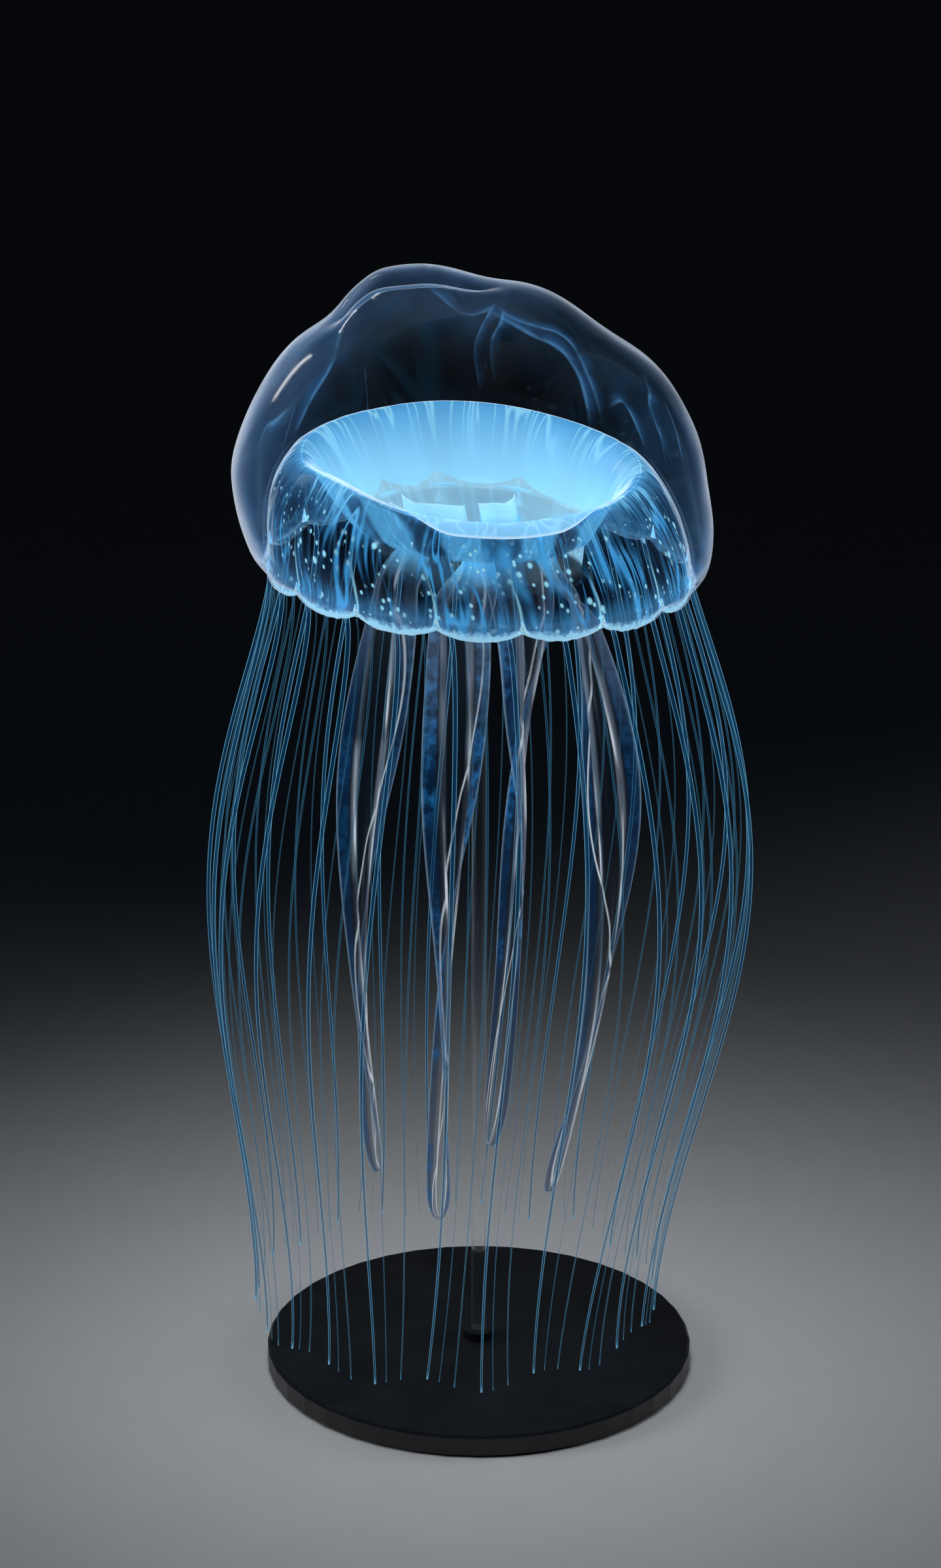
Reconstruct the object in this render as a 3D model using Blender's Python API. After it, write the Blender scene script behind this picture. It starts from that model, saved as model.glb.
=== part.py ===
"""A life-size jellyfish on a display stand.

The animal is a medusa with a clear domed bell, a blue subumbrella folded up into a
round ridge, a stomach basin sunk inside that ridge, a four-cornered manubrium, four
oral arms, sixteen marginal lappets and twenty-four long marginal tentacles.

Metres, +Z up. The origin is the centre of the stand's underside, the bell's margin is
level with MARGIN_HEIGHT and the model is shown from the -Y side.
"""

import math

import bmesh
import bpy
from mathutils import Matrix, Vector

for leftover in list(bpy.data.objects):
    bpy.data.objects.remove(leftover)

# Driving sizes, in metres. Heights of the bell's parts are over its margin.
GAP = 0.0003                # left between pieces that touch
BELL_SEGMENTS = 32          # round the bell
WALL_STEPS = 5              # up the subumbrella's wall
MARGIN_HEIGHT = 0.450       # of the bell's margin over the table
BELL_RADIUS = 0.122         # of the bell at its widest
WIDEST_HEIGHT = 0.035       # of the widest level
DOME_RISE = 0.1195          # from the widest level to the crown
SKIRT_DEPTH = 0.095         # half height of the ellipse that the bell follows below
FOOT_HEIGHT = 0.008         # where the bell ends and the lappets start
FOOT_RADIUS = 0.1085        # of the subumbrella's wall there
RIDGE_RADIUS = 0.0865       # of the subumbrella's ridge, where the stomach starts
RIDGE_HEIGHT = 0.0585
ROOF_RISE = 0.019           # of the stomach's roof over the ridge
SHEET = 0.0022              # thickness of the subumbrella and of the stomach's floor
BASIN_RADIUS = 0.0590       # where the stomach's floor meets the manubrium
BASIN_HEIGHT = 0.0270
THROAT_RADIUS = 0.0500      # of the manubrium at its lower end
THROAT_WALL = 0.0035
CORNER_TURN = math.radians(-16)     # from +X to the first corner of the manubrium
CORNER_SWELL = 0.10         # how much further out its corners stand, as a share

# How the animal leans as it drifts.
TILT = math.radians(2.7)    # of the margin, down on the +X side
LEAN = 0.008                # of the dome towards -X
CROWN_LEAN = 0.020          # more of the same, close to the crown
NOD = 0.075                 # fall of the ridge towards the front, as a slope
LUMPS = 0.012               # broad lumps of the bell, as a share of its radius

LAPPETS = 16
LAPPET_DROP = 0.0030        # of a lappet's middle below the margin
NOTCH_RISE = 0.0052         # of the edge in the notches between lappets

TENTACLES = 24
TENTACLE_ROOT = 0.1085      # radius of the ring that they hang from
TENTACLE_BOW = 0.0338       # how far out they bow
TENTACLE_SWAY = 0.0040      # how far they are carried to -X at mid-height
TENTACLE_THICK = 0.0025     # diameter at the root
TENTACLE_THIN = 0.0010      # diameter at the tip
TIP_HEIGHT = 0.0385         # of their tips over the table
ROOT_SHARE = 0.36           # of each one that is of a piece with its lappet

ARMS = 4
ARM_ROOT = 0.0480           # radius of the ring that the oral arms hang from
ARM_BOW = 0.0200
ARM_TOP = -GAP              # height of their upper ends
ARM_TIP = -0.3440           # height of their tips
ARM_WIDTH = 0.0330
ARM_THICK = 0.0042
ARM_TURN = math.radians(200)        # twist of a ribbon from its root to its tip
ARM_FACING = (0.42, -0.07, 0.30, 0.15)      # share of its length at which each lies flat on
ARM_LENGTHS = ("upper", "middle", "lower")
ARM_STEPS = 6               # cross-sections in each length

BASE_RADIUS = 0.115
BASE_THICK = 0.012
ROD_RADIUS = 0.0040

JELLY = (0.62, 0.74, 0.86, 0.35)
SKY = (0.22, 0.58, 0.88, 0.6)
DEEP = (0.06, 0.30, 0.62, 0.6)
EDGE = (0.50, 0.80, 0.95, 0.8)
STEEL_BLUE = (0.10, 0.36, 0.55, 0.7)
GREY = (0.45, 0.55, 0.68, 0.6)
SLATE = (0.030, 0.034, 0.040, 1.0)
ACRYLIC = (0.85, 0.90, 0.93, 0.4)


def smooth(share):
    """0 to 1 with a level start and end."""
    share = min(max(share, 0.0), 1.0)
    return share * share * (3 - 2 * share)


def posed(point):
    """Takes a point of an evenly round, upright bell to its place in the leaning one."""
    x, y, z = point
    azimuth = math.atan2(y, x)
    level = z / (WIDEST_HEIGHT + DOME_RISE)
    swell = LUMPS * smooth(level / 0.3) * (1 - smooth((level - 0.55) / 0.45))
    swell *= math.cos(3 * azimuth + 0.5) + 0.6 * math.cos(5 * azimuth - 1.2)
    lean = LEAN * smooth(level / 0.35) + CROWN_LEAN * max(level, 0.0) ** 8
    x = x * (1 + swell) - lean
    y = y * (1 + swell)
    z += NOD * y * smooth(z / RIDGE_HEIGHT)
    turned = Matrix.Rotation(TILT, 4, "Y") @ Vector((x, y, z))
    return turned + Vector((0, 0, MARGIN_HEIGHT))


def material(name, colour, roughness, metallic=0.0):
    made = bpy.data.materials.new(name)
    made.use_nodes = True
    surface = made.node_tree.nodes["Principled BSDF"]
    surface.inputs["Base Color"].default_value = (*colour[:3], 1.0)
    surface.inputs["Roughness"].default_value = roughness
    surface.inputs["Metallic"].default_value = metallic
    surface.inputs["Alpha"].default_value = colour[3]
    return made


def piece(name, mesh, colour, roughness=0.25, metallic=0.0):
    """Turns a bmesh into a named object with a material of its own."""
    bmesh.ops.recalc_face_normals(mesh, faces=mesh.faces)
    data = bpy.data.meshes.new(name)
    mesh.to_mesh(data)
    mesh.free()
    data.shade_smooth()
    data.set_sharp_from_angle(angle=math.radians(50))
    data.materials.append(material(name, colour, roughness, metallic))
    made = bpy.data.objects.new(name, data)
    bpy.context.scene.collection.objects.link(made)
    return made


def place(name, mesh, colour, roughness=0.25):
    """Leans the mesh of an upright bell's part and makes it a piece."""
    for vert in mesh.verts:
        vert.co = posed(vert.co)
    return piece(name, mesh, colour, roughness)


def spun(profile, segments, ring=True):
    """A bmesh of an (radius, height) outline turned round +Z; ring joins its ends."""
    mesh = bmesh.new()
    verts = [mesh.verts.new((radius, 0, height)) for radius, height in profile]
    edges = [mesh.edges.new(pair) for pair in zip(verts, verts[1:])]
    if ring:
        edges.append(mesh.edges.new((verts[-1], verts[0])))
    bmesh.ops.spin(
        mesh, geom=verts + edges, cent=(0, 0, 0), axis=(0, 0, 1),
        angle=2 * math.pi, steps=segments, use_merge=True,
    )
    bmesh.ops.remove_doubles(mesh, verts=mesh.verts, dist=1e-6)
    return mesh


def grown(outline, stations):
    """A bmesh grown by extruding a flat outline from one station matrix to the next."""
    mesh = bmesh.new()
    face = mesh.faces.new([mesh.verts.new((x, y, 0)) for x, y in outline])
    bmesh.ops.transform(mesh, matrix=stations[0], verts=mesh.verts)
    first = face
    for before, after in zip(stations, stations[1:]):
        passed = face
        new = bmesh.ops.extrude_face_region(mesh, geom=[face], use_keep_orig=True)["geom"]
        face = next(part for part in new if isinstance(part, bmesh.types.BMFace))
        verts = [part for part in new if isinstance(part, bmesh.types.BMVert)]
        bmesh.ops.transform(mesh, matrix=after @ before.inverted(), verts=verts)
        if passed is not first:
            bmesh.ops.delete(mesh, geom=[passed], context="FACES_ONLY")
    return mesh


def bell_radius(height):
    """Radius of the bell's outside at a height over the margin."""
    rise = height - WIDEST_HEIGHT
    reach = DOME_RISE if rise > 0 else SKIRT_DEPTH
    return BELL_RADIUS * math.sqrt(max(0.0, 1 - (rise / reach) ** 2))


def wall_point(share, out=0.0):
    """The subumbrella's outer face, from its foot at 0 to the top of its ridge at 1."""
    angle = share * math.pi / 2
    radius = RIDGE_RADIUS + (FOOT_RADIUS - RIDGE_RADIUS) * math.cos(angle) ** 1.3
    height = FOOT_HEIGHT + (RIDGE_HEIGHT - FOOT_HEIGHT) * math.sin(angle)
    return radius + out * math.cos(angle), height + out * math.sin(angle)


# Bell: one body of clear jelly, thick at the crown and thin at the margin. Its hollow
# underside fits over the subumbrella and roofs the stomach.
def bell():
    dome_steps, skirt_steps, roof_steps = 9, 3, 3
    outside = []
    for step in range(dome_steps + 1):
        angle = step / dome_steps * math.pi / 2
        outside.append((BELL_RADIUS * math.sin(angle), WIDEST_HEIGHT + DOME_RISE * math.cos(angle)))
    for step in range(1, skirt_steps + 1):
        height = WIDEST_HEIGHT + (FOOT_HEIGHT - WIDEST_HEIGHT) * step / skirt_steps
        outside.append((bell_radius(height), height))
    underside = [wall_point(step / WALL_STEPS, GAP) for step in range(WALL_STEPS + 1)]
    for step in range(1, roof_steps + 1):
        angle = step / roof_steps * math.pi / 2
        underside.append((
            RIDGE_RADIUS * math.cos(angle),
            RIDGE_HEIGHT + GAP + ROOF_RISE * math.sin(angle),
        ))
    place("bell", spun(outside + underside, BELL_SEGMENTS, ring=False), JELLY, 0.08)


# Subumbrella: a thin wall that climbs from the margin to the ridge.
def subumbrella():
    shares = [step / WALL_STEPS for step in range(WALL_STEPS + 1)]
    outer = [wall_point(share) for share in shares]
    inner = [wall_point(share, -SHEET) for share in reversed(shares)]
    place("subumbrella", spun(outer + inner, BELL_SEGMENTS), DEEP)


# Stomach: the basin that the ridge surrounds, a sheet sinking to the manubrium's rim.
def stomach():
    steps = 5
    start = RIDGE_RADIUS - GAP
    upper = []
    for step in range(steps + 1):
        radius = start + (BASIN_RADIUS - start) * step / steps
        sink = (RIDGE_HEIGHT - BASIN_HEIGHT) * smooth(step / steps)
        upper.append((radius, RIDGE_HEIGHT - sink))
    lower = [(radius, height - SHEET) for radius, height in reversed(upper)]
    place("stomach", spun(upper + lower, BELL_SEGMENTS), SKY)


# Manubrium: the mouth tube, a pan with four corners that closes the stomach below and
# that the oral arms hang from.
def manubrium():
    rim = BASIN_RADIUS - GAP
    top = BASIN_HEIGHT
    floor = THROAT_WALL
    profile = [
        (0.0, 0.0), (THROAT_RADIUS, 0.0), (THROAT_RADIUS + 0.0030, 0.0030),
        (THROAT_RADIUS + 0.0045, 0.0120), (rim, top - 0.0010),
        (rim - THROAT_WALL, top - 0.0010), (THROAT_RADIUS + 0.0010, 0.0120),
        (THROAT_RADIUS - 0.0030, floor + 0.0010), (0.0, floor),
    ]
    mesh = spun(profile, 28, ring=False)
    for vert in mesh.verts:
        azimuth = math.atan2(vert.co.y, vert.co.x) - CORNER_TURN
        depth = 1 - smooth((vert.co.z - 0.004) / (top - 0.006))
        vert.co.xy *= 1 + CORNER_SWELL * depth * (math.cos(4 * azimuth) - 0.3)
    place("manubrium", mesh, SKY)


# Tentacles: round threads that bow outwards, draw in again and hang straight at the tip.
def drift(share):
    """How far the hanging parts are carried sideways at a share of the tentacles' drop."""
    return -0.013 * share**1.3 + 0.0075 * math.sin(math.pi * share**0.7)


def tentacle_station(index, share):
    """Place, direction and size of one tentacle's cross-section at a share of its length."""
    azimuth = 2 * math.pi * (index + 0.5) / TENTACLES

    def centre(at):
        root = posed((TENTACLE_ROOT * math.cos(azimuth), TENTACLE_ROOT * math.sin(azimuth), 0.001))
        tip = TIP_HEIGHT + 0.004 * math.sin(2.7 * index)
        bow = TENTACLE_BOW * (1 + 0.08 * math.sin(1.9 * index + 0.4))
        out = bow * max(0.0, math.sin(math.pi * at**0.8)) ** 1.7
        sway = drift(at) - TENTACLE_SWAY * math.sin(math.pi * at**1.3)
        aside = 0.010 * math.sin(2.3 * index) * math.sin(math.pi * at) * at
        return Vector((
            root.x + out * math.cos(azimuth) - aside * math.sin(azimuth) + sway,
            root.y + out * math.sin(azimuth) + aside * math.cos(azimuth),
            root.z + (tip - root.z) * at,
        ))

    here = centre(share)
    ahead = centre(min(share + 0.01, 1.0)) - centre(max(share - 0.01, 0.0))
    turn = Vector((0, 0, -1)).rotation_difference(ahead)
    size = TENTACLE_THICK + (TENTACLE_THIN - TENTACLE_THICK) * share
    return Matrix.LocRotScale(here, turn, Vector((size / 2, size / 2, 1)))


def thread(index, start, end, steps):
    sides = 5
    outline = [
        (math.cos(2 * math.pi * side / sides), math.sin(2 * math.pi * side / sides))
        for side in range(sides)
    ]
    shares = [start + (end - start) * step / steps for step in range(steps + 1)]
    return grown(outline, [tentacle_station(index, share) for share in shares])


def tentacles():
    start = ROOT_SHARE + GAP / (MARGIN_HEIGHT - TIP_HEIGHT)
    for index in range(TENTACLES):
        piece(f"tentacle_{index + 1:02d}", thread(index, start, 1.0, 8), STEEL_BLUE)


# Lappets: the scalloped edge in sixteen flaps, one or two tentacles growing from each.
def lappet(number):
    width = 2 * math.pi / LAPPETS
    middle = number * width
    inset = GAP / 2 / BELL_RADIUS
    margin = bell_radius(0.0)
    top = FOOT_HEIGHT - GAP
    section = [
        (bell_radius(FOOT_HEIGHT), top), (margin, 0.0), (margin - 0.0012, -LAPPET_DROP),
        (margin - 0.0042, -LAPPET_DROP), (margin - 0.0068, 0.0), (FOOT_RADIUS - 0.0014, top),
    ]
    steps = 6
    upright = Matrix.Rotation(math.pi / 2, 4, "X")
    stations = [
        Matrix.Rotation(middle + (width / 2 - inset) * (2 * step / steps - 1), 4, "Z") @ upright
        for step in range(steps + 1)
    ]
    mesh = grown(section, stations)
    for vert in mesh.verts:
        azimuth = math.atan2(vert.co.y, vert.co.x)
        off = (azimuth - middle + math.pi) % (2 * math.pi) - math.pi
        low = (top - vert.co.z) / (top + LAPPET_DROP)
        vert.co.z += NOTCH_RISE * low * abs(off / (width / 2)) ** 2.4
    made = place(f"lappet_{number + 1:02d}", mesh, EDGE)

    for index in range(TENTACLES):
        azimuth = 2 * math.pi * (index + 0.5) / TENTACLES
        off = (azimuth - middle + math.pi) % (2 * math.pi) - math.pi
        if abs(off) < width / 2:
            root = piece(f"root_{index + 1:02d}", thread(index, 0.0, ROOT_SHARE, 4), EDGE)
            root.hide_render = True
            root.display_type = "WIRE"
            union = made.modifiers.new(f"root_{index + 1:02d}", "BOOLEAN")
            union.operation = "UNION"
            union.object = root


# Oral arms: four folded ribbons, each in three lengths, that twist as they hang.
def arm_station(arm, share):
    """Place, twist and size of one oral arm's cross-section at a share of its length."""
    azimuth = CORNER_TURN + 2 * math.pi * arm / ARMS
    root = posed((ARM_ROOT * math.cos(azimuth), ARM_ROOT * math.sin(azimuth), ARM_TOP))
    tip = MARGIN_HEIGHT + ARM_TIP
    drop = share * (root.z - tip) / (MARGIN_HEIGHT - TIP_HEIGHT)
    out = ARM_BOW * math.sin(math.pi * share)
    centre = Vector((
        root.x + out * math.cos(azimuth) + drift(drop),
        root.y + out * math.sin(azimuth),
        root.z + (tip - root.z) * share,
    ))
    taper = 1 - 0.58 * smooth((share - 0.25) / 0.5)
    tip_round = math.sqrt(max(0.0, 1 - max(0.0, (share - 0.93) / 0.075) ** 2))
    width = ARM_WIDTH * taper * (0.25 + 0.75 * tip_round)
    thick = ARM_THICK * (1 - 0.45 * share)
    twist = Matrix.Rotation(ARM_TURN * (share - ARM_FACING[arm]), 4, "Z")
    slope = Matrix.Rotation(TILT * max(0.0, 1 - share / 0.1), 4, "Y")
    size = Matrix.Diagonal((width / 2, thick, 1, 1))
    return Matrix.Translation(centre) @ slope @ twist @ size


def oral_arms():
    # A shallow V: the two wings of the ribbon, thickest along the fold between them.
    outline = [
        (-1.0, 1.30), (-0.5, 0.25), (0.0, -0.20), (0.5, 0.25), (1.0, 1.30),
        (0.90, 1.60), (0.0, 0.80), (-0.90, 1.60),
    ]
    for arm in range(ARMS):
        for part, length in enumerate(ARM_LENGTHS):
            start = part / len(ARM_LENGTHS)
            end = (part + 1) / len(ARM_LENGTHS)
            start += (GAP / (ARM_TOP - ARM_TIP)) if part else 0.0
            stations = [
                arm_station(arm, start + (end - start) * step / (ARM_STEPS - 1))
                for step in range(ARM_STEPS)
            ]
            piece(f"oral_arm_{arm + 1}_{length}", grown(outline, stations), GREY)


# Stand: a heavy round plate and a clear rod that ends under the manubrium.
def stand():
    edge = 0.0012
    socket = 0.0085
    plate = [
        (0.0, 0.0), (BASE_RADIUS - edge, 0.0), (BASE_RADIUS, edge),
        (BASE_RADIUS, BASE_THICK - edge), (BASE_RADIUS - edge, BASE_THICK),
        (socket + edge, BASE_THICK), (socket, BASE_THICK + edge),
        (socket, BASE_THICK + 0.006), (0.0, BASE_THICK + 0.006),
    ]
    piece("stand_base", spun(plate, 40, ring=False), SLATE, 0.35, 0.6)
    foot = BASE_THICK + 0.006 + GAP
    head = MARGIN_HEIGHT - GAP - ROD_RADIUS * math.sin(TILT)
    rod = [
        (0.0, foot), (ROD_RADIUS, foot), (ROD_RADIUS, head - ROD_RADIUS / 2),
        (ROD_RADIUS / 2, head), (0.0, head),
    ]
    piece("stand_rod", spun(rod, 16, ring=False), ACRYLIC, 0.05)


bell()
subumbrella()
stomach()
manubrium()
for number in range(LAPPETS):
    lappet(number)
tentacles()
oral_arms()
stand()
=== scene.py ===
"""A life-size jellyfish on a display stand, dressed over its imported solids.

Metres, +Z up, shown from the -Y side. Each section is one part of the model, in the order
in which it is put together: the stand, the clear bell and the folds in it, the blue lining
that folds up into the stomach, the mouth tube, the margin, the tentacles, the oral arms,
then the floor, the lights and the camera.
"""

import math

import bmesh
import bpy
from mathutils import Matrix, Vector, noise
from mathutils.geometry import interpolate_bezier


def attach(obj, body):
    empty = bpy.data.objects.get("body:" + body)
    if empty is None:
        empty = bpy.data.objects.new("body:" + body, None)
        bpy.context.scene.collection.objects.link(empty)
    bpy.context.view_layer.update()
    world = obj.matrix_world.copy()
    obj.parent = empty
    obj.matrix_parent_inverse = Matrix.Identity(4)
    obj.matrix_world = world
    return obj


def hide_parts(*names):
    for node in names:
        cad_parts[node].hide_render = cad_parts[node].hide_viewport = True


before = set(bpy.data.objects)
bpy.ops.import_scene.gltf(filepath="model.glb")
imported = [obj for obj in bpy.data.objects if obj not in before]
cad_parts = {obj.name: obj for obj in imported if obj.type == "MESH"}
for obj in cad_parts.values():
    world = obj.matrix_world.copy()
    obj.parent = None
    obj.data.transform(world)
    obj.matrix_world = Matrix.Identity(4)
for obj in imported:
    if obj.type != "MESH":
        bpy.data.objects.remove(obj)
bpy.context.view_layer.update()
scene = bpy.context.scene


# Stand: a turned steel plate with a boss at its middle, painted satin black, and a clear
# acrylic rod that stands on the boss and ends just under the animal's mouth tube.
def add(tree, kind, inputs=None, **settings):
    """Adds a shader node. An input is a plain value or another node's output."""
    made = tree.nodes.new("ShaderNode" + kind)
    for setting, value in settings.items():
        setattr(made, setting, value)
    for key, value in (inputs or {}).items():
        if isinstance(value, bpy.types.NodeSocket):
            tree.links.new(value, made.inputs[key])
        else:
            made.inputs[key].default_value = value
    return made


def maths(operation, first, *others):
    """Works on one value, or on two or more in turn, some of them outputs of nodes."""
    for other in others or (0.0,):
        tree = (first if isinstance(first, bpy.types.NodeSocket) else other).id_data
        first = add(tree, "Math", {0: first, 1: other}, operation=operation).outputs[0]
    return first


def times(*values):
    return maths("MULTIPLY", *values)


def plus(*values):
    return maths("ADD", *values)


def most(*values):
    return maths("MAXIMUM", *values)


def apart(first, second):
    return maths("ABSOLUTE", maths("SUBTRACT", first, second))


def vectors(operation, first, second):
    return add(first.id_data, "VectorMath", {0: first, 1: second}, operation=operation).outputs[0]


def rise(value, low, high, start=0.0, end=1.0):
    """start where the value is under low, end where it is over high, smooth between."""
    keys = {"Value": value, "From Min": low, "From Max": high, "To Min": start, "To Max": end}
    return add(value.id_data, "MapRange", keys, interpolation_type="SMOOTHSTEP").outputs["Result"]


def fall(value, low, high):
    """1 where the value is under low, 0 where it is over high."""
    return rise(value, low, high, 1.0, 0.0)


def clouds(vector, scale, detail, roughness=0.5):
    """Soft noise from 0 to 1."""
    keys = {"Vector": vector, "Scale": scale, "Detail": detail, "Roughness": roughness}
    return add(vector.id_data, "TexNoise", keys).outputs["Fac"]


def tinted(share, first, second):
    """A colour between two others."""
    keys = {"Factor": share, 6: first, 7: second}
    return add(share.id_data, "Mix", keys, data_type="RGBA").outputs[2]


def in_place(tree):
    """Coordinates in metres, fixed to the piece."""
    return add(tree, "TexCoord").outputs["Object"]


def material(name):
    """A material, its node tree and the inputs of its Principled shader."""
    made = bpy.data.materials.new(name)
    made.use_nodes = True
    return made, made.node_tree, made.node_tree.nodes["Principled BSDF"].inputs


def film(name, gloss, roughness=0.10):
    """A clear wet film: where the Alpha of its haze is 0 it can't be seen but for a thin
    gloss, from gloss[0] head on to gloss[1] at a slant, and lamps shine through it."""
    made, tree, haze = material(name)
    haze["Roughness"].default_value = 0.30
    haze["IOR"].default_value = 1.34
    hazy = tree.nodes["Principled BSDF"].outputs[0]
    slant = add(tree, "LayerWeight", {"Blend": 0.5}).outputs["Facing"]
    wet = add(tree, "BsdfAnisotropic", {"Color": (1, 1, 1, 1), "Roughness": roughness}).outputs[0]
    gleam = rise(slant, 0.0, 1.0, *gloss)
    coated = add(tree, "MixShader", {0: gleam, 1: hazy, 2: wet}).outputs[0]
    lamp = add(tree, "LightPath").outputs["Is Shadow Ray"]
    clear = add(tree, "BsdfTransparent").outputs[0]
    passing = add(tree, "MixShader", {0: lamp, 1: coated, 2: clear}).outputs[0]
    tree.links.new(passing, tree.nodes["Material Output"].inputs["Surface"])
    return made, tree, haze, slant


paint, tree, coat = material("satin_black_paint")
place = in_place(tree)
wear = clouds(place, 45.0, 5.0)
black = tinted(wear, (0.010, 0.011, 0.013, 1), (0.020, 0.022, 0.026, 1))
tree.links.new(black, coat["Base Color"])
tree.links.new(rise(wear, 0.3, 0.7, 0.30, 0.44), coat["Roughness"])
peel = clouds(place, 700.0, 2.0)
bumps = add(tree, "Bump", {"Height": peel, "Strength": 0.15, "Distance": 0.0002})
tree.links.new(bumps.outputs[0], coat["Normal"])
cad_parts["stand_base"].material_slots[0].material = paint

acrylic, tree, haze, slant = film("clear_acrylic", (0.04, 0.55), roughness=0.04)
place = in_place(tree)
drawn = add(tree, "Mapping", {"Vector": place, "Scale": (500.0, 500.0, 12.0)}).outputs[0]
shade = tinted(clouds(drawn, 1.0, 2.0), (0.20, 0.26, 0.30, 1), (0.34, 0.42, 0.48, 1))
tree.links.new(shade, haze["Base Color"])
tree.links.new(rise(slant, 0.35, 1.0, 0.03, 0.50), haze["Alpha"])
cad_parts["stand_rod"].material_slots[0].material = acrylic


# Bell: one solid body of clear stiff jelly, thick at the crown and thin at the margin. Its
# wet outer skin is lumpy, with a groove across the crown, and its hollow underside fits
# over the blue lining.
GAP = 0.0003                # left between pieces that touch
MARGIN_HEIGHT = 0.450       # of the bell's margin over the table
BELL_RADIUS = 0.122         # of the bell at its widest
WIDEST_HEIGHT = 0.035       # of the widest level over the margin, as are the next heights
DOME_RISE = 0.1195          # of the crown over the widest level
SKIRT_DEPTH = 0.095         # how far down the skirt's curve would run on to close
FOOT_HEIGHT = 0.008         # where the bell ends and the margin starts
FOOT_RADIUS = 0.1085        # of the lining's wall there
RIDGE_RADIUS = 0.0865       # of the lining's ridge, where the stomach starts
RIDGE_HEIGHT = 0.0585
RIDGE_WIDTH = 0.020
ROOF_RISE = 0.019           # of the bell's hollow over the ridge
LIP_ROOM = 0.0024           # between the hollow and the lining, which holds the lip
TILT = math.radians(2.7)    # of the margin, down on the +X side
LEAN = 0.008                # of the dome towards -X
CROWN_LEAN = 0.020          # more of the same, close to the crown
NOD = 0.075                 # fall of the ridge towards the front, as a slope
LUMPS = 0.012               # broad lumps, as a share of the radius
FINE_LUMPS = 0.0016         # smaller ones over them
GROOVE_DEPTH = 0.0062       # of the groove across the crown
GROOVE_WIDTH = 0.0090
GROOVE_ENDS = (0.050, 0.004)        # how far it runs towards -X and towards +X
GROOVE_FADE = 0.030         # over which it ends, on all sides
GROOVE_FOOT = 0.105         # the height where it starts
CREST_RISE = 0.0085         # of the ridge at its front left
CREST_AT, CREST_SPREAD = 222, 24    # azimuths, in degrees
VIEW_SLOPE = math.radians(20.3)     # of the direction that the model is shown from
LOBE_MIDDLE = Vector((-0.004, 0.0, 0.045))
LOBES = ((-0.050, 49, 12), (-0.038, 79, 10), (0.014, 108, 7), (-0.038, 129, 9), (0.016, 175, 15))
LAPPETS = 16                # of the scalloped margin
LAPPET_DROP = 0.0012        # of a lappet's middle below the margin
NOTCH_RISE = 0.0048         # of the edge in the notches between lappets
CRINKLE = 0.0006            # of the edge's finer crinkles
BELL_SEGMENTS = 192


def smooth(share):
    """0 to 1 with a level start and end."""
    share = min(max(share, 0.0), 1.0)
    return share * share * (3 - 2 * share)


def hump(value, middle, width):
    """1 at the middle, fading to both sides."""
    return math.exp(-(((value - middle) / width) ** 2))


def turned_by(azimuth, degrees):
    """How far an azimuth is from another, in degrees either way."""
    return (math.degrees(azimuth) - degrees + 180) % 360 - 180


def around(radius, azimuth, height):
    """The point at a radius, an azimuth and a height."""
    return radius * math.cos(azimuth), radius * math.sin(azimuth), height


def posed(point):
    """Takes a point of an evenly round, upright bell to its place in the leaning one."""
    x, y, z = point
    azimuth = math.atan2(y, x)
    level = z / (WIDEST_HEIGHT + DOME_RISE)
    swell = LUMPS * smooth(level / 0.3) * (1 - smooth((level - 0.55) / 0.45))
    swell *= math.cos(3 * azimuth + 0.5) + 0.6 * math.cos(5 * azimuth - 1.2)
    lean = LEAN * smooth(level / 0.35) + CROWN_LEAN * max(level, 0.0) ** 8
    x = x * (1 + swell) - lean
    y = y * (1 + swell)
    z += NOD * y * smooth(z / RIDGE_HEIGHT)
    turned = Matrix.Rotation(TILT, 4, "Y") @ Vector((x, y, z))
    return turned + Vector((0, 0, MARGIN_HEIGHT))


def crest_lift(point):
    """How much higher the ridge stands at its front left, at an upright bell's point."""
    radius = math.hypot(point.x, point.y)
    near = smooth(point.z / RIDGE_HEIGHT) * hump(radius, RIDGE_RADIUS, RIDGE_WIDTH)
    off = turned_by(math.atan2(point.y, point.x), CREST_AT)
    return CREST_RISE * near * hump(off, 0, CREST_SPREAD)


def grooved(point):
    """How deep the groove is at a point of the upright bell."""
    x, y, z = point
    left, right = GROOVE_ENDS
    across = 1 - smooth((x - right if x > 0 else -x - left) / GROOVE_FADE)
    crown = smooth((z - GROOVE_FOOT) / GROOVE_FADE)
    off = y - 0.004 - 0.12 * (x + 0.02)
    return GROOVE_DEPTH * across * crown * hump(off, 0, GROOVE_WIDTH)


def lobed(point):
    """Swells or dents the bell at an upright point by its lobes: each a share of the
    radius, at an angle up from +X as seen from a little above the front, and a width."""
    up_axis = Vector((0, math.sin(VIEW_SLOPE), math.cos(VIEW_SLOPE)))
    off = point - LOBE_MIDDLE
    up = off.dot(up_axis)
    angle = math.atan2(up, off.x)
    swell = sum(size * hump(turned_by(angle, at), 0, width) for size, at, width in LOBES)
    swell *= smooth((point.z - WIDEST_HEIGHT + 0.02) / 0.04)
    return point + swell * (Vector((off.x, 0, 0)) + up * up_axis)


def scalloped(azimuth):
    """How far an azimuth lies from the middle of its lappet, 0 to 1 in the notch."""
    width = 2 * math.pi / LAPPETS
    return abs((azimuth + width / 2) % width - width / 2) / (width / 2)


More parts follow.
